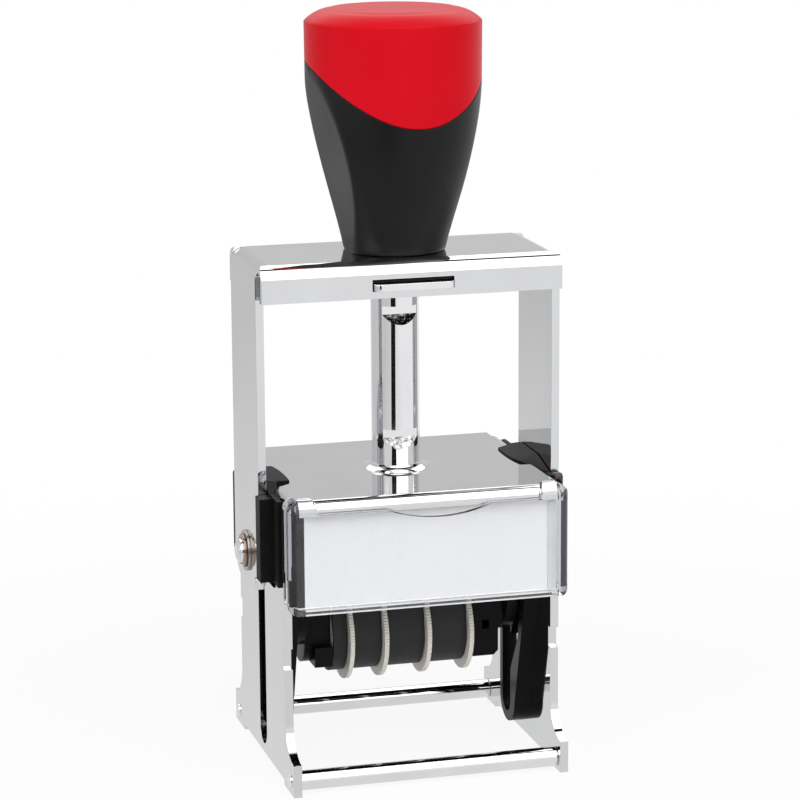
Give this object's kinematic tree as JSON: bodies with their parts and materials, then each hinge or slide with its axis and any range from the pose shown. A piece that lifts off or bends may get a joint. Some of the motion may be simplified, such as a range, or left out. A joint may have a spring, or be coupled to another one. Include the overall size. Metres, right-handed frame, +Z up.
{
  "type": "self-inking date stamp",
  "caption": "Heavy-duty self-inking date stamp: plated steel frame, sprung bridge on a centre post, two-tone knob handle, clear card window and a flip-over carriage with thumb-turned date wheels.",
  "frame": {"origin": "middle of the footprint on the desk", "axes": "+X across the stamp to the right, +Y to the back, +Z up along the post"},
  "size_m": [0.0708, 0.0564, 0.161],
  "materials": {
    "chrome": "bright plated sheet steel",
    "steel": "plain steel",
    "black_plastic": "satin moulded",
    "red_plastic": "satin gloss moulded",
    "clear_plastic": "clear moulded",
    "ivory_plastic": "moulded",
    "card": "plain white card",
    "felt": "inked felt",
    "die_rubber": "moulded rubber",
    "band_rubber": "moulded rubber"
  },
  "bodies": {
    "base": {"base_frame": "chrome", "guide_post": "chrome", "front_rod": "chrome", "rear_rod": "chrome", "cam_plate_left": "black_plastic", "cam_plate_right": "black_plastic", "side_guide_left": "black_plastic", "side_guide_right": "black_plastic", "pad_housing": "black_plastic", "window_cover": "clear_plastic", "index_card": "card", "return_spring": "steel"},
    "drawer": {"pad_tray": "black_plastic", "ink_pad": "felt"},
    "bridge": {"bridge_yoke": "chrome", "lock_block": "black_plastic", "handle_grip": "black_plastic", "handle_cap": "red_plastic", "handle_screws": "steel", "spring_spindle": "steel", "spindle_screw": "steel", "trunnion_pins": "steel", "slide_bushes": "ivory_plastic", "trunnion_washers": "steel", "retaining_clips": "steel"},
    "lock": {"lock_slide": "chrome"},
    "carriage": {"carriage_frame": "black_plastic", "band_cheek_left": "black_plastic", "band_cheek_right": "black_plastic", "type_bar": "black_plastic", "wheel_axle": "steel", "follower_pegs": "steel", "text_plate": "die_rubber", "date_band_1": "band_rubber", "date_band_2": "band_rubber", "date_band_3": "band_rubber", "date_band_4": "band_rubber"},
    "wheel_1": {"date_wheel_1": "ivory_plastic"},
    "wheel_2": {"date_wheel_2": "ivory_plastic"},
    "wheel_3": {"date_wheel_3": "ivory_plastic"},
    "wheel_4": {"date_wheel_4": "ivory_plastic"}
  },
  "joints": [
    {"name": "bridge_press", "type": "slide", "parent": "base", "child": "bridge", "axis": [0, 0, -1], "range_m": [0, 0.038], "stiffness_N_per_m": 500, "springref_m": -0.016, "deforming": ["return_spring"]},
    {"name": "carriage_flip", "type": "hinge", "parent": "bridge", "child": "carriage", "pos_m": [0, 0, 0.0465], "axis": [-1, 0, 0], "range_deg": [0, 180]},
    {"name": "lock_push", "type": "slide", "parent": "bridge", "child": "lock", "axis": [0, 1, 0], "range_m": [0, 0.001]},
    {"name": "pad_drawer", "type": "slide", "parent": "base", "child": "drawer", "axis": [0, 1, 0], "range_m": [0, 0.048]},
    {"name": "wheel_1_turn", "type": "hinge", "parent": "carriage", "child": "wheel_1", "pos_m": [0, 0, 0.0266], "axis": [1, 0, 0], "continuous": true},
    {"name": "wheel_2_turn", "type": "hinge", "parent": "carriage", "child": "wheel_2", "pos_m": [0, 0, 0.0266], "axis": [1, 0, 0], "continuous": true},
    {"name": "wheel_3_turn", "type": "hinge", "parent": "carriage", "child": "wheel_3", "pos_m": [0, 0, 0.0266], "axis": [1, 0, 0], "continuous": true},
    {"name": "wheel_4_turn", "type": "hinge", "parent": "carriage", "child": "wheel_4", "pos_m": [0, 0, 0.0266], "axis": [1, 0, 0], "continuous": true}
  ],
  "couplings": [
    {"joint": "carriage_flip", "follows": "bridge_press", "rad_per_m": 82.673}
  ]
}
